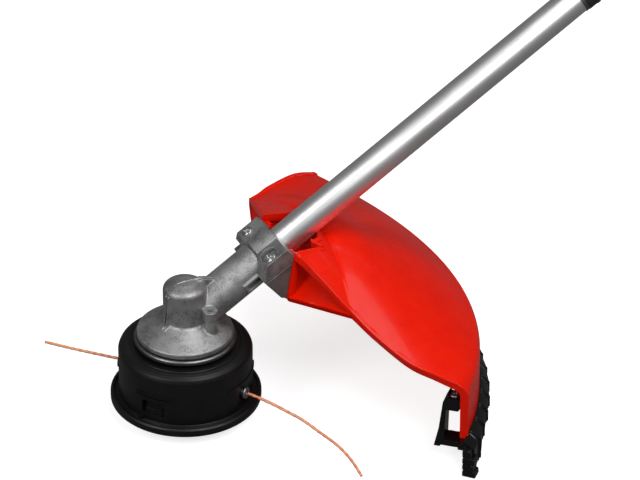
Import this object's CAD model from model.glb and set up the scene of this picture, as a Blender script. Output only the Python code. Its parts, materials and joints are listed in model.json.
"""Looks for the string trimmer's lower unit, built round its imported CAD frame.

Geometry is written in millimetres in the frame's own axes and turned to metres as each mesh is made.
"""

import json
import math

import bmesh
import bpy
import numpy as np
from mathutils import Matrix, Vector
from mathutils.bvhtree import BVHTree


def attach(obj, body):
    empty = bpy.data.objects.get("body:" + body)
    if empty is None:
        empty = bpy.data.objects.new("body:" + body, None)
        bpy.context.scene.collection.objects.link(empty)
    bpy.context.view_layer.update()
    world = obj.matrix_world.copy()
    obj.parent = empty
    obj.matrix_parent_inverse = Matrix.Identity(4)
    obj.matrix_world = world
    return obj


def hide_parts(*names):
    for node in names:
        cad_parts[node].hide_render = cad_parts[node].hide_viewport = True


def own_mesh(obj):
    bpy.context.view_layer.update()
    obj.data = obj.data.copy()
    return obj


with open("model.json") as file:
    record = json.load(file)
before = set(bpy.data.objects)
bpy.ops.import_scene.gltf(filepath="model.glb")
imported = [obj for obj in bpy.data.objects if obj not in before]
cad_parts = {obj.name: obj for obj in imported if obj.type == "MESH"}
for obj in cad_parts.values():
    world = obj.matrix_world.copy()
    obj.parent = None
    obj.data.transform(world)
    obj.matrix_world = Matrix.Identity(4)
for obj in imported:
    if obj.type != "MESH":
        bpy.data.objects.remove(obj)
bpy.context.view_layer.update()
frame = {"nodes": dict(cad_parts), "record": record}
nodes = frame["nodes"]

MM = 0.001
scene = bpy.context.scene
scene.view_settings.view_transform = "Standard"

# ---------------------------------------------------------------- camera

CAM_AZ = math.radians(-27.05)
CAM_EL = math.radians(33.3)
CAM_DIST = 5000
CAM_LENS = 339.5
cam_right = Vector((math.cos(CAM_AZ), math.sin(CAM_AZ), 0))
cam_ahead = Vector((-math.sin(CAM_AZ), math.cos(CAM_AZ), 0))
cam_look = cam_ahead * math.cos(CAM_EL) - Vector((0, 0, math.sin(CAM_EL)))
cam_up = cam_ahead * math.sin(CAM_EL) + Vector((0, 0, math.cos(CAM_EL)))
cam_aim = Vector((0, 0, 12)) + cam_right * 110.9 + cam_up * 128.35
camera = bpy.data.objects.new("camera", bpy.data.cameras.new("camera"))
scene.collection.objects.link(camera)
camera.data.sensor_width = 36
camera.data.lens = CAM_LENS
camera.data.clip_start = 0.1
camera.data.clip_end = 60
camera.location = (cam_aim - cam_look * CAM_DIST) * MM
camera.rotation_mode = "QUATERNION"
camera.rotation_quaternion = cam_look.to_track_quat("-Z", "Y")
scene.camera = camera

# ---------------------------------------------------------------- places

APEX = np.array([0.0, 0.0, 86.8])
TUBE_R = 13.0


def unit(v):
    return v / np.linalg.norm(v)


def place(origin, x_axis, z_axis):
    """A function that takes local points to the frame, from an origin and two axes."""
    z = unit(np.array(z_axis, float))
    x = np.array(x_axis, float)
    x = unit(x - z * (x @ z))
    turn = np.array([x, np.cross(z, x), z])
    return lambda p: np.asarray(p, float) @ turn + np.array(origin, float)


UP_FROM_SHAFT = (-0.5, 0, 0.8660254)
ALONG_SHAFT = (0.8660254, 0, 0.5)
on_shaft = place(APEX, UP_FROM_SHAFT, ALONG_SHAFT)


def polar(r, degrees, z=0.0):
    a = math.radians(degrees)
    return np.array([r * math.cos(a), r * math.sin(a), z])


def at_angle(degrees, z=0.0):
    """Local x points outwards from the head's axis, y runs round it and z is up."""
    return place((0, 0, z), polar(1, degrees), (0, 0, 1))


# ---------------------------------------------------------------- mesh helpers


def make(name, points, faces):
    mesh = bpy.data.meshes.new(name)
    mesh.from_pydata([tuple(p) for p in np.asarray(points, float) * MM], [], [list(f) for f in faces])
    mesh.validate()
    obj = bpy.data.objects.new(name, mesh)
    scene.collection.objects.link(obj)
    edit = bmesh.new()
    edit.from_mesh(mesh)
    bmesh.ops.recalc_face_normals(edit, faces=edit.faces)
    edit.to_mesh(mesh)
    edit.free()
    return obj


def soften(points, radius, steps=4, closed=True):
    """Rounds the corners of an outline. radius is one number or one for each corner."""
    points = [np.array(p, float) for p in points]
    n = len(points)
    radii = [radius] * n if np.isscalar(radius) else radius
    out = []
    for i, p in enumerate(points):
        a, b = points[i - 1], points[(i + 1) % n]
        if radii[i] <= 0 or (not closed and i in (0, n - 1)):
            out.append(p)
            continue
        u, v = a - p, b - p
        lu, lv = np.linalg.norm(u), np.linalg.norm(v)
        u, v = u / lu, v / lv
        half = math.acos(max(-1, min(1, u @ v))) / 2
        d = min(radii[i] / max(math.tan(half), 1e-3), 0.48 * lu, 0.48 * lv)
        for k in range(steps + 1):
            t = k / steps
            out.append((1 - t) ** 2 * (p + u * d) + 2 * t * (1 - t) * p + t * t * (p + v * d))
    return out


def lathe(name, profile, spot=None, steps=144):
    """A closed outline of (radius, height) turned about local z."""
    profile = [tuple(p) for p in profile]
    points, rings = [], []
    for r, z in profile:
        if r < 1e-4:
            rings.append([len(points)] * steps)
            points.append((0, 0, z))
        else:
            rings.append(range(len(points), len(points) + steps))
            for k in range(steps):
                a = 2 * math.pi * k / steps
                points.append((r * math.cos(a), r * math.sin(a), z))
    faces = []
    for i in range(len(profile)):
        a, b = rings[i], rings[(i + 1) % len(profile)]
        if a[0] == a[1] and b[0] == b[1]:
            continue
        for k in range(steps):
            m = (k + 1) % steps
            face = list(dict.fromkeys([a[k], a[m], b[m], b[k]]))
            if len(face) > 2:
                faces.append(face)
    points = np.array(points)
    return make(name, spot(points) if spot else points, faces)


def prism(name, outline, low, high, spot=None):
    """An outline in local x and y, extruded from low to high along local z."""
    n = len(outline)
    points = [(p[0], p[1], z) for z in (low, high) for p in outline]
    faces = [list(range(n))[::-1], list(range(n, 2 * n))]
    faces += [[k, (k + 1) % n, n + (k + 1) % n, n + k] for k in range(n)]
    points = np.array(points, float)
    return make(name, spot(points) if spot else points, faces)


def loft(name, rings):
    """Equal closed rings of points joined in order, with both ends capped."""
    n, m = len(rings), len(rings[0])
    faces = [list(range(m)), [(n - 1) * m + k for k in range(m)][::-1]]
    for i in range(n - 1):
        for k in range(m):
            q = (k + 1) % m
            faces.append([i * m + k, i * m + q, (i + 1) * m + q, (i + 1) * m + k])
    return make(name, np.array(rings).reshape(-1, 3), faces)


def tube_along(name, route, radius, sides=12, twist=0.0, lobes=0, lobe_depth=0.0):
    """A round or lobed section swept along a route; twist is in degrees for each millimetre."""
    route = np.asarray(route, float)
    ahead = np.gradient(route, axis=0)
    ahead /= np.linalg.norm(ahead, axis=1)[:, None]
    run = np.concatenate([[0], np.cumsum(np.linalg.norm(np.diff(route, axis=0), axis=1))])
    across = unit(np.cross(ahead[0], (0, 0, 1)))
    points = []
    for i, p in enumerate(route):
        across = unit(across - ahead[i] * (across @ ahead[i]))
        lift = np.cross(across, ahead[i])
        for k in range(sides):
            a = 2 * math.pi * k / sides
            r = radius * (1 - lobe_depth * (0.5 - 0.5 * math.cos(lobes * a)))
            b = a + math.radians(twist * run[i])
            points.append(p + r * (math.cos(b) * across + math.sin(b) * lift))
    n = len(route)
    faces = [[k for k in range(sides)], [(n - 1) * sides + k for k in range(sides)][::-1]]
    for i in range(n - 1):
        for k in range(sides):
            m = (k + 1) % sides
            faces.append([i * sides + k, (i + 1) * sides + k, (i + 1) * sides + m, i * sides + m])
    return make(name, points, faces)


def join(name, parts):
    """One object holding the meshes of several."""
    edit = bmesh.new()
    for part in parts:
        edit.from_mesh(part.data)
        bpy.data.objects.remove(part)
    mesh = bpy.data.meshes.new(name)
    edit.to_mesh(mesh)
    edit.free()
    obj = bpy.data.objects.new(name, mesh)
    scene.collection.objects.link(obj)
    return obj


def settle(obj):
    """Applies an object's modifiers."""
    graph = bpy.context.evaluated_depsgraph_get()
    graph.update()
    mesh = bpy.data.meshes.new_from_object(obj.evaluated_get(graph))
    obj.modifiers.clear()
    old, obj.data = obj.data, mesh
    bpy.data.meshes.remove(old)
    return obj


def fuse(name, parts, voxel, rounds):
    """Closed shapes melted into one casting: a voxel remesh, then smoothing that rounds its edges."""
    obj = join(name, parts)
    remesh = obj.modifiers.new("remesh", "REMESH")
    remesh.mode = "VOXEL"
    remesh.voxel_size = voxel * MM
    if rounds:
        smooth = obj.modifiers.new("smooth", "SMOOTH")
        smooth.factor = 0.5
        smooth.iterations = rounds
    return settle(obj)


def cut(obj, cutters, operation="DIFFERENCE", solver="MANIFOLD"):
    """Takes closed shapes out of an object, or adds them to it."""
    for cutter in cutters:
        change = obj.modifiers.new("cut", "BOOLEAN")
        change.operation = operation
        change.object = cutter
        change.solver = solver
    settle(obj)
    for cutter in cutters:
        bpy.data.objects.remove(cutter)
    return obj


def shade(obj, limit=32.0):
    """Smooth shading, with edges sharper than limit kept crisp."""
    edit = bmesh.new()
    edit.from_mesh(obj.data)
    for face in edit.faces:
        face.smooth = True
    for edge in edit.edges:
        edge.smooth = not edge.is_manifold or edge.calc_face_angle(0) < math.radians(limit)
    edit.to_mesh(obj.data)
    edit.free()
    return obj


def finish_piece(obj, body, finish, replaced=(), limit=32.0):
    shade(obj, limit)
    obj.data.materials.clear()
    obj.data.materials.append(finish)
    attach(obj, body)
    if replaced:
        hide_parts(*replaced)
    return obj


def bend(p, q, r, s, u):
    return 0.5 * (2 * q + (r - p) * u + (2 * p - 5 * q + 4 * r - s) * u * u + (3 * q - p - 3 * r + s) * u**3)


def along(points, t):
    """Points of a smooth curve through the given ones, for an array of shares t from 0 to 1."""
    points = np.asarray(points, float)
    n = len(points) - 1
    t = np.atleast_1d(np.asarray(t, float))
    k = np.minimum((t * n).astype(int), n - 1)
    u = (t * n - k)[:, None]
    low, high = np.maximum(k - 1, 0), np.minimum(k + 2, n)
    return bend(points[low], points[k], points[k + 1], points[high], u)


# ---------------------------------------------------------------- materials


class Nodes:
    """A short way to wire a material's nodes."""

    def __init__(self, name, metallic, roughness, **sockets):
        self.material = bpy.data.materials.new(name)
        self.material.use_nodes = True
        self.tree = self.material.node_tree
        self.shader = self.tree.nodes["Principled BSDF"]
        self.shader.inputs["Metallic"].default_value = metallic
        self.shader.inputs["Roughness"].default_value = roughness
        for key, value in sockets.items():
            self.shader.inputs[key.replace("_", " ")].default_value = value
        self.coords = self.tree.nodes.new("ShaderNodeTexCoord").outputs["Object"]

    def link(self, a, b):
        self.tree.links.new(a, b)

    def mapped(self, scale, rotation=(0, 0, 0)):
        turn = self.tree.nodes.new("ShaderNodeMapping")
        turn.inputs["Rotation"].default_value = rotation
        self.link(self.coords, turn.inputs["Vector"])
        size = self.tree.nodes.new("ShaderNodeMapping")
        size.inputs["Scale"].default_value = scale
        self.link(turn.outputs["Vector"], size.inputs["Vector"])
        return size.outputs["Vector"]

    def noise(self, scale, detail=4.0, rough=0.55, vector=None):
        node = self.tree.nodes.new("ShaderNodeTexNoise")
        node.inputs["Scale"].default_value = scale
        node.inputs["Detail"].default_value = detail
        node.inputs["Roughness"].default_value = rough
        self.link(vector or self.coords, node.inputs["Vector"])
        return node.outputs["Fac"]

    def ramp(self, value, stops):
        node = self.tree.nodes.new("ShaderNodeValToRGB")
        ends = node.color_ramp.elements
        while len(ends) < len(stops):
            ends.new(0.5)
        for end, (at, colour) in zip(ends, stops):
            end.position = at
            end.color = (*colour, 1)
        self.link(value, node.inputs["Fac"])
        return node.outputs["Color"]

    def spread(self, value, low, high):
        node = self.tree.nodes.new("ShaderNodeMapRange")
        node.inputs["From Min"].default_value = 0.25
        node.inputs["From Max"].default_value = 0.75
        node.inputs["To Min"].default_value = low
        node.inputs["To Max"].default_value = high
        self.link(value, node.inputs["Value"])
        return node.outputs["Result"]

    def add(self, a, b, share):
        node = self.tree.nodes.new("ShaderNodeMath")
        node.operation = "MULTIPLY_ADD"
        self.link(b, node.inputs[0])
        node.inputs[1].default_value = share
        self.link(a, node.inputs[2])
        return node.outputs["Value"]

    def colour(self, value):
        self.link(value, self.shader.inputs["Base Color"])

    def roughness(self, value):
        self.link(value, self.shader.inputs["Roughness"])

    def bump(self, height, strength, distance):
        node = self.tree.nodes.new("ShaderNodeBump")
        node.inputs["Strength"].default_value = strength
        node.inputs["Distance"].default_value = distance * MM
        self.link(height, node.inputs["Height"])
        self.link(node.outputs["Normal"], self.shader.inputs["Normal"])


def grey(v, warm=0.0):
    return (v * (1 + warm), v, v * (1 - warm))


def cast(name, low, high, rough):
    """Sand-cast or die-cast aluminium: fine grain, blotches and a slightly uneven skin."""
    m = Nodes(name, 0.85, rough)
    grain = m.noise(760, 5, 0.7)
    blotch = m.noise(70, 5, 0.65)
    m.colour(m.ramp(m.add(grain, blotch, 0.9), [(0.78, grey(low)), (1.12, grey(high))]))
    m.roughness(m.spread(blotch, rough - 0.06, rough + 0.08))
    m.bump(m.add(grain, m.noise(420, 2), 0.8), 0.7, 0.16)
    return m.material


def machined(name, low, high, rough, metallic=1.0):
    """Turned or plated steel with faint streaks."""
    m = Nodes(name, metallic, rough)
    streak = m.noise(1, 3, 0.6, m.mapped((500, 500, 2600)))
    m.colour(m.ramp(streak, [(0.3, grey(low)), (0.7, grey(high))]))
    m.roughness(m.spread(m.noise(220, 4), rough - 0.05, rough + 0.07))
    m.bump(streak, 0.15, 0.02)
    return m.material


def moulded(name, low, high, rough, grain, depth, **sockets):
    """Moulded plastic or rubber: a fine texture and slow changes of gloss."""
    m = Nodes(name, 0.0, rough, **sockets)
    m.colour(m.ramp(m.noise(60, 5, 0.6), [(0.3, low), (0.7, high)]))
    m.roughness(m.spread(m.noise(140, 4), rough - 0.05, rough + 0.06))
    m.bump(m.noise(grain, 2), 0.5, depth)
    return m.material


cast_grey = cast("cast_grey", 0.2, 0.36, 0.5)
cast_dark = cast("cast_dark", 0.13, 0.24, 0.5)
steel = machined("steel", 0.26, 0.4, 0.36)
bright_steel = machined("bright_steel", 0.45, 0.62, 0.28)
trim_metal = machined("trim_metal", 0.14, 0.24, 0.42)
black_plastic = moulded("black_plastic", (0.003, 0.003, 0.0032), (0.006, 0.006, 0.0064), 0.42, 1900, 0.05,
                        Specular_IOR_Level=0.3)
extension_plastic = moulded("extension_plastic", (0.0018, 0.0018, 0.002), (0.0035, 0.0035, 0.004), 0.24, 1300,
                            0.03, Specular_IOR_Level=0.4)
grey_plastic = moulded("grey_plastic", (0.035, 0.037, 0.04), (0.055, 0.058, 0.062), 0.5, 1500, 0.04)
sleeve_rubber = moulded("sleeve_rubber", (0.009, 0.009, 0.01), (0.017, 0.017, 0.018), 0.55, 1400, 0.06)
seal_rubber = moulded("seal_rubber", (0.012, 0.012, 0.013), (0.02, 0.02, 0.022), 0.6, 1200, 0.05)
red_plastic = moulded("red_plastic", (0.68, 0.007, 0.0003), (0.74, 0.01, 0.0004), 0.3, 160, 0.004,
                      Coat_Weight=0.08, Coat_Roughness=0.07, Specular_IOR_Level=0.15)


def tube_finish():
    """Satin anodised aluminium with faint lines drawn along the tube."""
    m = Nodes("satin_tube", 1.0, 0.3)
    turned = m.mapped((2600, 2600, 14), (0, math.radians(-60), 0))
    lines = m.noise(1, 3, 0.6, turned)
    m.colour(m.ramp(lines, [(0.3, grey(0.88)), (0.7, grey(0.96))]))
    m.roughness(m.spread(m.noise(30, 4), 0.36, 0.42))
    m.bump(lines, 0.12, 0.02)
    return m.material


def line_finish():
    """Extruded nylon with a copper tint that deepens in the grooves of its twist."""
    m = Nodes("line_nylon", 0.0, 0.3, Coat_Weight=0.3, Coat_Roughness=0.15)
    cloud = m.noise(260, 3)
    m.colour(m.ramp(cloud, [(0.3, (0.6, 0.19, 0.08)), (0.7, (0.78, 0.32, 0.16))]))
    m.bump(m.noise(2200, 2), 0.3, 0.03)
    return m.material


satin_tube = tube_finish()
line_nylon = line_finish()

# ---------------------------------------------------------------- cutting line

LINE_D = 2.7
LINE_PITCH = 13.2
LINE_LOBES = 2
LINE_LOBE_DEPTH = 0.16
near_route = [
    (34.6, -45.9, 30.8), (39.5, -52.4, 29.9), (44.3, -59.1, 28.6), (48.9, -65.9, 27.2),
    (53.2, -72.9, 25.8), (57.2, -80, 24.6), (60.9, -87.3, 23.7), (64.4, -94.8, 22),
    (67.6, -102.3, 20.2), (70.5, -110, 18.7), (73.2, -117.7, 17.5), (75.6, -125.6, 16.3),
    (77.6, -133.5, 14.5), (79.2, -141.6, 12.1), (80, -149.7, 9.6), (80, -157.9, 7.5),
    (80.3, -161.2, 6),
]
far_route = [
    (-34.6, 45.9, 30.8), (-40.9, 54.3, 29.4), (-47.3, 62.6, 28.8), (-53.7, 70.9, 28.1),
    (-60.3, 79.1, 27.7), (-66.9, 87.2, 27.4), (-73.6, 95.4, 27.3), (-80.3, 103.4, 27.3),
]


def cutting_line(name, route, node):
    fine = along(route, np.linspace(0, 1, 12 * len(route)))
    obj = tube_along(name, fine, LINE_D / 2, 20, 360 / LINE_PITCH, LINE_LOBES, LINE_LOBE_DEPTH)
    finish_piece(obj, "head", line_nylon, [node], 60)


cutting_line("line_near", near_route, "line_tail_near")
cutting_line("line_far", far_route, "line_tail_far")

# ---------------------------------------------------------------- bump spring

SPRING_R = 14.1
SPRING_WIRE_R = 0.9
SPRING_LOW = 31.3
SPRING_HIGH = 58.3
SPRING_TURNS = 6
SPRING_STEPS = 240

turns = np.linspace(0, SPRING_TURNS, SPRING_STEPS + 1)
coil = [polar(SPRING_R, 360 * t, SPRING_LOW + (SPRING_HIGH - SPRING_LOW) * t / SPRING_TURNS) for t in turns]
bump_coil = tube_along("bump_coil", coil, SPRING_WIRE_R, 14)
finish_piece(bump_coil, "head", steel, ["bump_spring"], 60)
# the spring is pressed towards its fixed upper end as the knob goes in
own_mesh(bump_coil)

# ---------------------------------------------------------------- gear case

BOSS_AT = polar(24.6, -58)
SOCKET_R = 17.0
THIN_R = 15.3
RIB_AZ = 193


def gear_case():
    body = [(0, 66), (19.5, 66), (19.5, 74), (39.2, 74), (40, 74.9), (40, 78), (39.5, 78.9), (36, 80.6),
            (30, 83.3), (23, 87.1), (19.6, 89.3), (18.3, 90.8), (18, 92.6)]
    dome = [(18 - 5.2 + 5.2 * math.cos(a), 117.6 + 5.4 * math.sin(a)) for a in np.linspace(0, 1.2, 9)]
    parts = [lathe("body", body + dome + [(7, 124.9), (0, 125.5)], steps=192)]
    socket = [(0, 8), (16.6, 8), (SOCKET_R, 9), (SOCKET_R, 76.6), (16.4, 78), (0, 78)]
    parts.append(lathe("socket", socket, on_shaft, 192))
    thin = [(0, 70), (THIN_R, 70), (THIN_R, 100.4), (14.8, 101), (0, 101)]
    parts.append(lathe("thin", thin, on_shaft, 192))
    spot = place((BOSS_AT[0], BOSS_AT[1], 0), (1, 0, 0), (0, 0, 1))
    column = [(0, 75), (5.6, 75), (5.5, 82), (4.9, 96.5), (4.9, 97), (0, 97)]
    parts.append(lathe("column", column, spot, 48))
    octagon = [polar(6.5, 22.5 + 45 * k)[:2] for k in range(8)]
    parts.append(prism("octagon", octagon, 97, 105, spot))
    side = place((0, 0, 0), (0, 0, 1), np.cross(polar(1, RIB_AZ), (0, 0, 1)))
    for low, high in ((-2.3, -0.8), (0.8, 2.3)):
        # local x is up, local y is towards the axis
        outline = [(118, -16), (117.6, -19.4), (100, -20), (90, -21.6), (83.5, -25), (83, -16)]
        parts.append(prism("rib", outline, low, high, side))
    web = [(8, 116), (8, 124.2), (15, 124.2), (25, 121.5), (24, 116)]
    across = place((0, 0, 0), (1, 0, 0), (0, -1, 0))
    parts.append(prism("web", web, -3.2, 3.2, across))
    seam = [(-12.5, 123.2), (-6, 125.6), (0, 126.1), (8, 125.4), (15, 124.9), (25.5, 122.1), (25, 118),
            (-12, 118)]
    parts.append(prism("seam", seam, -0.5, 0.5, across))
    pad = place(on_shaft([-1.5, 0, 0]), UP_FROM_SHAFT, ALONG_SHAFT)
    edge = soften([(-4.9, 0), (4.9, 0), (4.9, 6.6), (-4.9, 6.6)], 0.8)
    parts.append(prism("slot_border", [(x, 12 + y) for x, y in edge], 54, 77.5, pad))
    case = fuse("gear_case", parts, 0.5, 7)
    chamber = [(0, 65), (16, 65), (16, 79.5), (15.4, 80.5), (15.4, 113), (11, 113), (11, 120), (0, 120)]
    cutters = [
        lathe("chamber", chamber),
        lathe("bore", [(0, 18), (TUBE_R + 0.03, 18), (TUBE_R + 0.03, 120), (0, 120)], on_shaft, 96),
        lathe("relief", [(22.5, 70), (36.5, 70), (36.5, 77.2), (22.5, 82)]),
        lathe("pin_hole", soften([(0, 60), (2.25, 60), (2.25, 103.6), (3.1, 106), (0, 106)], 0), spot, 32),
        slot_cutter(1.7, 57, 8),
        slot_cutter(3.3, 55.4, 17.5),
    ]
    return cut(case, cutters)


def slot_cutter(half, start, low):
    """A slot in the socket's near side, open towards the clamp, from local height low outwards."""
    outline = soften([(-half, start), (half, start), (half, 120), (-half, 120)], half * 0.9)
    points = [on_shaft([x - 1.5, y, z]) for y in (low, 26) for x, z in outline]
    n = len(outline)
    faces = [list(range(n)), list(range(n, 2 * n))[::-1]]
    faces += [[k, (k + 1) % n, n + (k + 1) % n, n + k] for k in range(n)]
    return make("slot", points, faces)


# ---------------------------------------------------------------- castings taken from the CAD shape


def recast(name, node, voxel, rounds, extras=(), cutters=()):
    """The CAD solid's own shape with the soft edges of a casting and added detail."""
    copy = bpy.data.objects.new(name, nodes[node].data.copy())
    scene.collection.objects.link(copy)
    edit = bmesh.new()
    edit.from_mesh(copy.data)
    bmesh.ops.remove_doubles(edit, verts=edit.verts, dist=0.002 * MM)
    edit.to_mesh(copy.data)
    edit.free()
    obj = fuse(name, [copy, *extras], voxel, rounds)
    return cut(obj, cutters) if cutters else obj


case = gear_case()
finish_piece(case, "frame_body", cast_grey, ["gearbox_housing"], 40)

cap = recast("clamp_cap_cast", "clamp_cap", 0.4, 4)
finish_piece(cap, "frame_body", cast_grey, ["clamp_cap"], 40)
bracket = recast("guard_bracket_cast", "guard_bracket", 0.45, 4)
finish_piece(bracket, "frame_body", cast_dark, ["guard_bracket"], 40)

# ---------------------------------------------------------------- screws


def pan_screw(name, spot, radius, height, shank, length, turn=20):
    outline = [(0, -length), (shank, -length), (shank, 0), (radius, 0), (radius, height * 0.45), (0, height)]
    head = lathe(name, soften(outline, [0, 0.3, 0, 0.25, height * 0.5, 0]), spot, 64)
    arm = radius * 0.62
    wide = radius * 0.15
    cutters = []
    for a in (turn, turn + 90):
        t = math.radians(a)
        outline = [(x * math.cos(t) - y * math.sin(t), x * math.sin(t) + y * math.cos(t))
                   for x, y in soften([(-arm, -wide), (arm, -wide), (arm, wide), (-arm, wide)], wide * 0.8)]
        cutters.append(prism("recess", outline, height * 0.35, height + 3, spot))
    return cut(head, cutters)


CLAMP_L = 86
big_spot = place(on_shaft([9.8, 19, CLAMP_L]), ALONG_SHAFT, UP_FROM_SHAFT)
small_spot = place(on_shaft([14.8, -19, CLAMP_L]), ALONG_SHAFT, UP_FROM_SHAFT)
big = pan_screw("big_screw", big_spot, 5.4, 3.6, 2.4, 20)
small = pan_screw("small_screw", small_spot, 4.3, 2.8, 2.4, 25, 50)
clamp_screws = join("clamp_screws_plated", [big, small])
finish_piece(clamp_screws, "frame_body", bright_steel, ["clamp_screws"])

# ---------------------------------------------------------------- tube, ring and sleeve

TUBE_INNER_R = TUBE_R - 1.5
RING_R = TUBE_R + 0.6
RING_FROM, RING_TO = 418.5, 421.5
SLEEVE_TO = 491
tube_profile = soften([(TUBE_INNER_R, 50), (TUBE_R, 50), (TUBE_R, 561), (TUBE_INNER_R, 561)], 0.3, 2)
tube = lathe("shaft_tube_satin", tube_profile, on_shaft, 128)
lock_spot = place(on_shaft([0, 0, 526]), ALONG_SHAFT, UP_FROM_SHAFT)
tube = cut(tube, [lathe("lock_hole", [(0, 0), (3.2, 0), (3.2, 20), (0, 20)], lock_spot, 48)])
finish_piece(tube, "frame_body", satin_tube, ["shaft_tube"])
ring_outline = [(TUBE_R, RING_FROM), (RING_R, RING_FROM), (RING_R, RING_TO), (TUBE_R, RING_TO)]
tube_ring = lathe("tube_ring_satin", soften(ring_outline, [0, 0.2, 0.2, 0]), on_shaft, 96)
finish_piece(tube_ring, "frame_body", trim_metal, ["tube_ring"])


def sleeve():
    low, high = TUBE_R + 1, TUBE_R + 1.5
    outline = [(TUBE_R, RING_TO), (low, RING_TO)]
    for i in range(6):
        start = 429.5 + i * 9
        outline += [(low, start), (high, start), (high, start + 3), (low, start + 3)]
    outline += [(low, SLEEVE_TO), (TUBE_R, SLEEVE_TO)]
    return lathe("coupling_sleeve_ribbed", soften(outline, 0.25, 2), on_shaft, 96)


finish_piece(sleeve(), "frame_body", sleeve_rubber, ["coupling_sleeve"])

# ---------------------------------------------------------------- guard

SKIRT_R = 255.0
SKIRT_BACK = 14.0
SKIRT_LOW = 28.0
GUARD_WALL = 3.2
CROWN = 36.0
near_edge = np.array([
    (87, -30, 144), (109, -87.5, 112), (118, -111, 100.7), (133, -142, 88.4), (149, -160.5, 82.3),
])
far_edge = np.array([
    (87, 30, 144), (116, 115, 104), (127, 120, 103.2), (140, 127, 103), (168, 138, 100.5),
])
RIM_FROM, RIM_TO = -45.2, 35.1
RIM_FILLET = 11.0
RIM_SLOPE = math.radians(20)
RIM_Z = 65.7
RIM_RISE = 18.0
RIM_LIFT = 3.0
LIP_W = 3.1
LIP_H = 1.4
RETURN_H = 2.2
BAR_W = 3.0
BAR_END = 1.4
BAR_DEPTH = 5.4
NOTCH = np.array([
    (76, -31), (88, -30.6), (112, -26), (106, -20), (116, -14),
    (116, 14), (106, 20), (112, 26), (88, 30.6), (76, 31),
])


def smoothstep(x, low, high):
    t = np.clip((x - low) / (high - low), 0, 1)
    return t * t * (3 - 2 * t)


def skirt_ring(s, r, z):
    a = np.radians(RIM_FROM + (RIM_TO - RIM_FROM) * s)
    return np.stack([r * np.cos(a) - SKIRT_BACK, r * np.sin(a), z], -1)


def rim_height(s):
    return RIM_Z + RIM_RISE * s**4 + RIM_LIFT * (1 - s) ** 4


def rim_line(s):
    r = SKIRT_R - RIM_FILLET * (1 - math.sin(RIM_SLOPE))
    return skirt_ring(s, r + 0 * s, rim_height(s) + RIM_FILLET * math.cos(RIM_SLOPE))


def root_line(s):
    bow = np.sin(math.pi * s)
    return np.stack([87 + 2 * bow, -30 + 60 * s, 144 + 3 * bow], -1)


def side_edge(points, t):
    """One point of a side edge, which runs straight to its first corner and curves on from there."""
    n = len(points) - 1
    k = min(int(t * n + 1e-4), n - 1)
    u = t * n - k
    if k == 0:
        return points[0] * (1 - u) + points[1] * u
    return bend(points[max(k - 1, 1)], points[k], points[k + 1], points[min(k + 2, n)], u)


def guard_top(s, t):
    """Points for an array of s along one row t."""
    rim_ends = rim_line(np.array([0.0, 1.0]))
    near = side_edge(np.vstack([near_edge, rim_ends[0]]), t)
    far = side_edge(np.vstack([far_edge, rim_ends[1]]), t)
    s3 = s[:, None]
    corners_a = near_edge[0] * (1 - s3) + far_edge[0] * s3
    corners_b = rim_ends[0] * (1 - s3) + rim_ends[1] * s3
    across = near * (1 - s3) + far * s3
    p = across + root_line(s) * (1 - t) + rim_line(s) * t - corners_a * (1 - t) - corners_b * t
    p[:, 2] += CROWN * np.sin(math.pi * t**0.75) * np.sin(math.pi * s)
    return p


def guard_low(s, k):
    """Rows past the top: the fillet for k up to 1, then the skirt for k up to 2."""
    base = rim_height(s)
    if k <= 1:
        turn = RIM_SLOPE + (math.pi / 2 - RIM_SLOPE) * k
        r = SKIRT_R - RIM_FILLET * (1 - math.sin(turn))
        return skirt_ring(s, r + 0 * s, base + RIM_FILLET * math.cos(turn))
    return skirt_ring(s, SKIRT_R + 0 * s, base + (SKIRT_LOW - base) * (k - 1))


def guard_grid():
    edge_steps = [0, 0.25, 0.6, 1.2, 2.0, 2.6, 3.0, 3.3, 3.6, 4.0, 4.6, 5.6, 7]
    fine = np.linspace(0, 1, 801)
    rows = []
    t_rows = np.linspace(0, 1, 91)
    low_rows = [*np.linspace(0, 1, 11)[1:], *np.linspace(1, 2, 12)[1:]]
    for kind, value in [(0, t) for t in t_rows] + [(1, k) for k in low_rows]:
        line = guard_top(fine, value) if kind == 0 else guard_low(fine, value)
        run = np.concatenate([[0], np.cumsum(np.linalg.norm(np.diff(line, axis=0), axis=1))])
        total = run[-1]
        middle = np.linspace(edge_steps[-1], total - edge_steps[-1], 92)[1:-1]
        wanted = np.concatenate([edge_steps, middle, total - np.array(edge_steps[::-1])])
        rows.append(np.stack([np.interp(wanted, run, line[:, c]) for c in range(3)], -1))
    return np.array(rows)


def guard_skin():
    grid = guard_grid()
    n_rows, n_cols = grid.shape[:2]
    normal = np.cross(np.gradient(grid, axis=1), np.gradient(grid, axis=0))
    normal /= np.linalg.norm(normal, axis=2)[..., None] + 1e-12
    if normal[n_rows // 2, n_cols // 2, 2] < 0:
        normal = -normal
    flat = grid.reshape(-1, 3)
    border = np.concatenate([grid[:, 0], grid[:, -1]])
    gap = np.full(len(flat), 1e9)
    for start in range(0, len(border), 40):
        chunk = border[start:start + 40]
        gap = np.minimum(gap, np.linalg.norm(flat[:, None] - chunk[None], axis=2).min(1))
    gap = gap.reshape(n_rows, n_cols)
    lip = LIP_H * (0.45 + 0.55 * smoothstep(gap, 0, 0.7)) * (1 - smoothstep(gap, LIP_W - 0.35, LIP_W + 0.35))
    rib = RETURN_H * (1 - smoothstep(gap, 2.6, 3.6))
    outer = grid + normal * lip[..., None]
    inner = grid - normal * (GUARD_WALL + rib)[..., None]
    return closed_sheet("skin", outer, inner)


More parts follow.
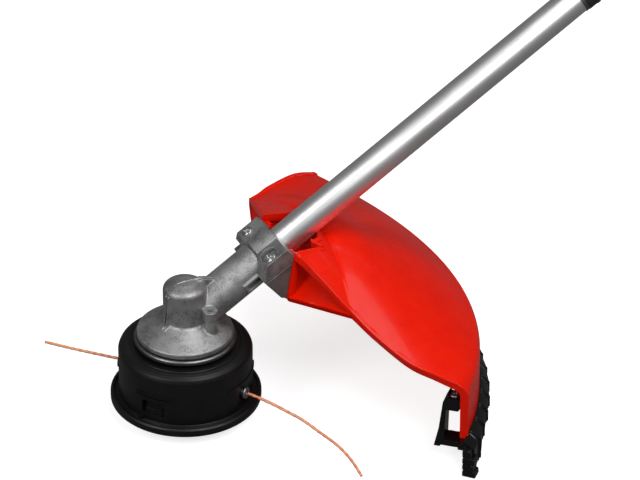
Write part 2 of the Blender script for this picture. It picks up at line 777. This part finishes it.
def closed_sheet(name, front, back):
    """A closed sheet between two grids of points of the same size."""
    n_rows, n_cols = front.shape[:2]
    count = n_rows * n_cols
    points = np.concatenate([front.reshape(-1, 3), back.reshape(-1, 3)])

    def at(i, j):
        return j * n_cols + i

    faces = []
    for j in range(n_rows - 1):
        for i in range(n_cols - 1):
            quad = [at(i, j), at(i + 1, j), at(i + 1, j + 1), at(i, j + 1)]
            faces += [quad, [q + count for q in quad[::-1]]]
    edge = [at(i, 0) for i in range(n_cols - 1)]
    edge += [at(n_cols - 1, j) for j in range(n_rows - 1)]
    edge += [at(i, n_rows - 1) for i in range(n_cols - 1, 0, -1)]
    edge += [at(0, j) for j in range(n_rows - 1, 0, -1)]
    for k, a in enumerate(edge):
        b = edge[(k + 1) % len(edge)]
        faces.append([b, a, a + count, b + count])
    return make(name, points, faces)


MOUNT_TILT = math.radians(9.7)
MOUNT_TOP = (86, 0, 145)
# local x runs down the mounting face and z points out of it
mount_down = (-math.sin(MOUNT_TILT), 0, -math.cos(MOUNT_TILT))
mount_out = (math.cos(MOUNT_TILT), 0, -math.sin(MOUNT_TILT))
mount = place(MOUNT_TOP, mount_down, mount_out)
ROOT_MEETS_TOP = 0.2
ROOT_FLOOR = 2.6
WALL_Y = 2


def guard_root():
    """The box at the guard's root: mounting plate, floor and inner walls."""
    parts = []
    cols, rows = 40, 12
    s = np.linspace(0, 1, cols + 1)
    start = np.stack([80.5 + 0 * s, -30 + 60 * s, 101.5 + 0 * s], -1)
    end = guard_top(s, ROOT_MEETS_TOP) - np.array([0, 0, 2.0])
    grid = np.array([start * (1 - j / rows) + end * (j / rows) for j in range(rows + 1)])
    parts.append(closed_sheet("floor", grid, grid - [0, 0, ROOT_FLOOR]))
    # the floor's two side edges stand up as narrow lips
    for side, sign in ((0, 1), (-1, -1)):
        rail = grid[:, side] + np.array([0, 0, 1.2])
        lip = np.stack([rail, rail + np.array([0, 3.2 * sign, 0])], 1)
        parts.append(closed_sheet("lip", lip, lip - [0, 0, 4.2]))
    plate = [(3.5, -30), (44.5, -30), (44.5, 30), (3.5, 30)]
    parts.append(prism("plate", soften(plate, 1.5), 0.05, 4, mount))
    for y in (-26.5, 26.5):
        rim = [(3.5, y - 3), (44.5, y - 3), (44.5, y + 3), (3.5, y + 3)]
        parts.append(prism("rim", soften(rim, 1.2), 0.05, 6.5, mount))
    corners = [
        (82.5, WALL_Y, 104),
        (88.5, WALL_Y, 140),
        guard_top(np.array([0.5 + WALL_Y / 60 * 0.9]), 0.03)[0],
        guard_top(np.array([0.5 + WALL_Y / 100]), 0.14)[0] - np.array([0, 0, 4]),
    ]
    outline = [(p[0], p[2]) for p in corners]
    across = place((0, 0, 0), (1, 0, 0), (0, -1, 0))
    parts.append(prism("wall", outline, WALL_Y - 1.2, WALL_Y + 1.2, across))
    return parts


def notch_bars(surface):
    """Short raised bars that follow the notch round the tube, each with the slope of the guard's top."""
    mesh = surface.data
    tree = BVHTree.FromPolygons([v.co for v in mesh.vertices], [list(f.vertices) for f in mesh.polygons])
    bars = []
    for a, b in zip(NOTCH[1:-2], NOTCH[2:-1]):
        run = unit(b - a)
        out = np.array([run[1], -run[0]])
        corners = [a - out * 0.05, b - out * 0.05]
        corners += [b + out * BAR_W + run * BAR_END, a + out * BAR_W - run * BAR_END]
        tops = []
        for c in corners:
            hit = tree.ray_cast(Vector((c[0] * MM, c[1] * MM, 0.3)), Vector((0, 0, -1)))[0]
            tops.append(hit.z / MM if hit else 140.0)
        points = [(*c, z + LIP_H) for c, z in zip(corners, tops)]
        points += [(*c, z - BAR_DEPTH) for c, z in zip(corners, tops)]
        faces = [[0, 1, 2, 3], [7, 6, 5, 4]] + [[k, k + 4, (k + 1) % 4 + 4, (k + 1) % 4] for k in range(4)]
        bars.append(make("bar", points, faces))
    return bars


def guard():
    skin = guard_skin()
    bars = notch_bars(skin)
    # the exact solver leaves the skin's own faces as they are away from each cut
    skin = cut(skin, [prism("notch", NOTCH, 115, 175)], solver="EXACT")
    shell = cut(skin, bars + guard_root(), "UNION", "EXACT")
    gap_r = TUBE_R + 1.2
    tube_gap = lathe("tube_gap", [(0, 60), (gap_r, 60), (gap_r, 200), (0, 200)], on_shaft, 96)
    socket_gap = lathe("socket_gap", [(0, 60), (18.6, 60), (18.6, 105), (0, 105)], on_shaft, 96)
    return cut(shell, [tube_gap, socket_gap], solver="EXACT")


shell = guard()
shell.name = "guard_glossy"
finish_piece(shell, "frame_body", red_plastic, ["guard"], 38)

# ---------------------------------------------------------------- head

HEAD_R = 55.5
LATCH_AZ = (-145.5, 34.5)
EXIT_AZ = (-53, 127)
EXIT_Z = 30.8
HOOD_Z = 43.2
POCKET_DEPTH = 2.5


def ring_part(inner, outer, start, stop, steps=24):
    """A curved bar's outline between two radii and two angles."""
    angles = np.linspace(start, stop, steps)
    return [polar(outer, t)[:2] for t in angles] + [polar(inner, t)[:2] for t in angles[::-1]]


def head_shell():
    outline = [(22.8, 65.7), (22.8, 63.2), (5, 63.2), (5, 34), (12, 34), (12, 59.4), (46.5, 59.4),
               (52.3, 55.4), (52.3, 20), (55.5, 20), (55.5, 60.4), (54.4, 63.2), (51.6, 65.1), (48.5, 65.7),
               (46.2, 65.7), (45.9, 65.3), (45.4, 65.3), (45.1, 65.7)]
    radii = [0.3, 0, 0, 0, 0, 1, 2, 1, 0, 0.3, 2.5, 2, 2, 2, 0.15, 0.1, 0.1, 0.15]
    shell = lathe("head", soften(outline, radii, 5), steps=192)
    adds, cutters = [], []
    for a in LATCH_AZ:
        spot = at_angle(a)
        ridge = ring_part(54.5, 56.5, -16.5, 16.5)
        adds.append(prism("ridge", ridge, 41.4, 44.8, spot))
        cutters.append(prism("groove", ring_part(54.3, 58, -16, 16), 42.6, 43.7, spot))
        side = place(polar(48, a), (0, 0, 1), polar(1, a))
        window = soften([(24.6, -10.4), (38.4, -10.4), (38.4, 10.4), (24.6, 10.4)], [1.2, 3.2, 3.2, 1.2])
        cutters.append(prism("window", window, 0, 12, side))
    for a in EXIT_AZ:
        spot = at_angle(a)
        # a hood line round the head, over a shallow pocket that holds the eyelet
        adds.append(prism("hood", ring_part(54.4, 56.5, -23, 30), HOOD_Z, HOOD_Z + 1.5, spot))
        angles = np.linspace(-16, 28, 45)
        depth = POCKET_DEPTH * smoothstep(angles, -16, -2) * (1 - smoothstep(angles, 20, 28)) + 0.02
        pocket = [polar(HEAD_R - d, t)[:2] for d, t in zip(depth, angles)]
        pocket += [polar(HEAD_R + 4, t)[:2] for t in angles[::-1]]
        cutters.append(prism("pocket", pocket, 21.5, HOOD_Z, spot))
        cutters.append(lathe("exit", [(0, 46), (4.25, 46), (4.25, 60), (0, 60)],
                             place((0, 0, EXIT_Z), (0, 0, 1), polar(1, a)), 48))
    shell = cut(shell, adds, "UNION")
    return cut(shell, cutters)


finish_piece(head_shell(), "head", black_plastic, ["head_housing"], 30)


def head_flange():
    outline = [(30, 12), (61, 12), (62.5, 13.5), (62.5, 18.6), (61.2, 20), (59.6, 20), (59.2, 18.4),
               (57.4, 18.4), (57, 19.6), (55.9, 19.6), (55.6, 19.9), (52, 19.9), (52, 29), (50, 29), (50, 17),
               (33, 17), (33, 20), (30, 20)]
    radii = [0.4, 1.2, 1.5, 0.8, 0.8, 0.3, 0.3, 0.3, 0.3, 0.2, 0, 0, 0.3, 0.3, 0.5, 0.5, 0.3, 0.3]
    shell = lathe("head_flange", soften(outline, radii, 3), steps=192)
    adds = []
    for a in LATCH_AZ:
        spot = at_angle(a)
        adds.append(prism("latch", ring_part(49.9, 51.2, -11, 11, 14), 22, 38, spot))
        adds.append(prism("tab", ring_part(51, 52.9, 1, 8, 8), 25.4, 31, spot))
        adds.append(prism("catch", ring_part(51, 52.6, -5, 7, 10), 24.8, 26.4, spot))
        adds.append(prism("foot", ring_part(55.8, 57.2, -13, -9, 4), 17, 22.6, spot))
    return cut(shell, adds, "UNION")


finish_piece(head_flange(), "head", black_plastic, ["head_cover"], 30)

adapter_outline = [(7.5, 63.5), (21.8, 63.5), (21.8, 69.2), (41.2, 69.2), (42.3, 70), (42.3, 72.4),
                   (41.4, 73.4), (20.3, 73.4), (20.3, 65.4), (7.5, 65.4)]
adapter_radii = [0, 0.3, 0.3, 0.5, 0.4, 0.4, 0.3, 0.3, 0, 0]
adapter = lathe("adapter_ring", soften(adapter_outline, adapter_radii, 3), steps=192)
finish_piece(adapter, "head", trim_metal, ["adapter_plate"], 30)


def eyelets():
    parts = []
    for a in EXIT_AZ:
        spot = place((0, 0, EXIT_Z), (0, 0, 1), polar(1, a))
        outline = [(1.5, 52.5), (4.2, 52.5), (4.2, 54.2), (5.3, 54.4), (5.3, 55.6), (4.4, 56.6), (2.6, 56.4),
                   (1.5, 55)]
        parts.append(lathe("eyelet", soften(outline, [0, 0.2, 0, 0.4, 0.6, 0.6, 0.6, 0.4], 4), spot, 64))
    return join("eyelets_plated", parts)


finish_piece(eyelets(), "head", steel, ["line_eyelets"], 40)

knob_outline = [(0, 0), (17.5, 0), (22.5, 1.2), (26, 4.6), (27.5, 9), (27.5, 19.9), (31, 20.3), (31, 21.9),
                (20, 21.9), (20, 14), (16, 10), (0, 10)]
knob_radii = [0, 3, 4, 4, 3, 0.5, 0.4, 0.4, 0, 1, 1, 0]


def knob():
    body = lathe("knob", soften(knob_outline, knob_radii, 5), steps=144)
    grips = []
    for k in range(12):
        spot = place(polar(29.6, 30 * k), (1, 0, 0), (0, 0, 1))
        grips.append(lathe("grip", [(0, -2), (2.6, -2), (2.6, 17), (0, 19.2)], spot, 24))
    return cut(body, grips)


finish_piece(knob(), "knob", black_plastic, ["bump_knob"], 30)

# ---------------------------------------------------------------- guard extension


def skirt_spot(degrees):
    """Local x is outwards from the skirt's centre, y is up and z runs back along the skirt."""
    out = polar(1, degrees)
    return place((-SKIRT_BACK, 0, 0), out, np.cross(out, (0, 0, 1)))


SEGMENT = 4.5
GROOVE_STEPS = (0.2, 0.26, 0.34, 0.45, 0.55)
FRAME_AZ = -43.2
FRAME_SCREW_R = 242.8


def band():
    start, stop = RIM_FROM - 2, RIM_TO + 1
    joints = np.arange(RIM_FROM + 1.4, RIM_TO - 1, SEGMENT)
    angles = [start, stop]
    for j in joints:
        angles += [j - step for step in GROOVE_STEPS] + [j + step for step in GROOVE_STEPS]
        angles += list(np.linspace(j + 0.7, min(j + SEGMENT - 0.7, stop), 8))
    angles = np.array(sorted(set(np.round([a for a in angles if start <= a <= stop], 4))))
    rings = []
    for a in angles:
        past = [(a - j) for j in joints if j <= a + 0.3]
        u = (past[-1] if past else a - start + 2) / SEGMENT
        near_joint = min([abs(a - j) for j in joints])
        groove = 1.3 * (1 - smoothstep(np.array(near_joint), 0.2, 0.3))
        edge = 0.5 if 0.3 < near_joint < 0.5 else 0.0
        flare = float(1 - smoothstep(np.array(a), RIM_FROM - 0.6, RIM_FROM + 8))
        r = 262.2 + 1.4 * (1 - min(max(u, 0), 1)) - groove + edge + 2.4 * flare
        low = 14 - 10 * flare
        profile = [(255.3, low), (r - 0.7, low), (r, low + 0.8), (r, 24.4), (r - 0.6, 25.3),
                   (257.4 - 0.6 * groove, 30.6 + edge), (256.5, 31), (255.3, 31)]
        spot = skirt_spot(a)
        rings.append([spot([r, z, 0]) for r, z in profile])
    return loft("band", rings)


def sweep_skirt(name, profile, start, stop, steps):
    """A section of (radius, height) swept round the skirt between two angles."""
    angles = np.linspace(start, stop, steps + 1)
    return loft(name, [[skirt_spot(a)([r, z, 0]) for r, z in profile] for a in angles])


def end_frame():
    """The thick knobbly end and the inner frame beside it."""
    parts = []
    heights = [(0.6, 6.2), (7.0, 12.2), (13.0, 18.6), (19.4, 26.0)]
    reach = [268.2, 266.4, 267.4, 264.4]
    core = [(257, 0.6), (265, 0.6), (263.4, 25), (257, 26)]
    parts.append(sweep_skirt("core", core, RIM_FROM - 2.9, RIM_FROM - 0.6, 8))
    for (low, high), r in zip(heights, reach):
        profile = soften([(256.6, low), (r, low), (r - 0.6, high), (256.6, high)], 1.1, 3)
        parts.append(sweep_skirt("lump", profile, RIM_FROM - 3.2, RIM_FROM - 1.0, 8))
    outline = [(238.5, 66), (237.5, 66), (234.2, 58.7), (231, 32.8), (227, 14.8), (232.4, 14.8),
               (232.4, 16.3), (256.2, 16.3), (256.2, 27.7), (251, 27.7), (251, 22), (235.8, 22),
               (236.8, 51.8), (247.4, 51.8), (250, 56.5), (250, 62.6), (249.2, 63.4), (238.5, 63.4)]
    parts.append(prism("frame", outline, -7, 7, skirt_spot(FRAME_AZ)))
    parts.append(lathe("boss", [(0, 55), (5.6, 55), (5.6, 62.4), (5, 63.6), (0, 63.6)],
                       place(polar(FRAME_SCREW_R, FRAME_AZ) - [SKIRT_BACK, 0, 0], (1, 0, 0), (0, 0, 1)), 40))
    lip = [(250.6, 22), (256.6, 22), (256.6, 27.7), (250.6, 27.7)]
    parts.append(sweep_skirt("lip", lip, RIM_FROM - 2, RIM_TO + 1, 60))
    return fuse("end_frame", parts, 0.5, 3)


extension = join("guard_extension_segments", [band(), end_frame()])
finish_piece(extension, "frame_body", extension_plastic, ["guard_extension"], 30)
screw_spot = place(skirt_spot(FRAME_AZ)([FRAME_SCREW_R, 63.4, 0]), (1, 0, 0), (0, 0, 1))
extension_screw = pan_screw("extension_screw", screw_spot, 4.2, 2.2, 2, 8)
finish_piece(extension_screw, "frame_body", bright_steel, ["extension_screws"])

# ---------------------------------------------------------------- CAD nodes that keep their shape

finishes = {
    "cast_case": cast_grey, "cast_dark": cast_dark, "tube": satin_tube, "trim": trim_metal,
    "steel": steel, "bright_steel": bright_steel, "blade": steel, "spring": steel,
    "red_plastic": red_plastic, "black_plastic": black_plastic, "grey_plastic": grey_plastic,
    "sleeve": sleeve_rubber, "seal": seal_rubber, "line": line_nylon,
}
slots = {s["node"]: s["material_slot"] for s in frame["record"]["subparts"]}
for node, obj in nodes.items():
    obj.data.materials.clear()
    obj.data.materials.append(finishes[slots[node]])

# ---------------------------------------------------------------- floor and lights

FLOOR = 6000
floor_corners = [(-FLOOR, -FLOOR, 0), (FLOOR, -FLOOR, 0), (FLOOR, FLOOR, 0), (-FLOOR, FLOOR, 0)]
floor_mesh = make("floor", floor_corners, [[0, 1, 2, 3]])
floor_finish = Nodes("floor_paint", 0.0, 0.9, Emission_Color=(1, 1, 1, 1), Emission_Strength=0.75)
floor_finish.colour(floor_finish.ramp(floor_finish.noise(3, 2), [(0.3, grey(0.6)), (0.7, grey(0.62))]))
floor_mesh.data.materials.append(floor_finish.material)
# reflections and bounced light pass the floor by, so that metal and gloss keep their dark sides
floor_mesh.visible_glossy = False
floor_mesh.visible_diffuse = False

world = bpy.data.worlds.new("studio")
world.use_nodes = True
world.node_tree.nodes["Background"].inputs["Color"].default_value = (1, 1, 1, 1)
world.node_tree.nodes["Background"].inputs["Strength"].default_value = 0.12
scene.world = world


def softbox(name, spot, aim, size, power):
    data = bpy.data.lights.new(name, "AREA")
    data.shape = "RECTANGLE"
    data.size, data.size_y = size
    data.energy = power
    lamp = bpy.data.objects.new(name, data)
    scene.collection.objects.link(lamp)
    lamp.location = spot
    lamp.rotation_mode = "QUATERNION"
    lamp.rotation_quaternion = (Vector(aim) - Vector(spot)).to_track_quat("-Z", "Y")


softbox("key", (0.25, -1.5, 1.75), (0.1, 0, 0.1), (1.3, 1.0), 30)
softbox("top", (0.5, -0.1, 2.2), (0.15, 0, 0.1), (1.0, 1.0), 14)
softbox("right", (1.7, -0.8, 0.7), (0.2, 0, 0.08), (0.4, 1.0), 4)
softbox("left", (-1.5, -0.35, 1.2), (0.05, 0, 0.1), (0.7, 1.2), 17)
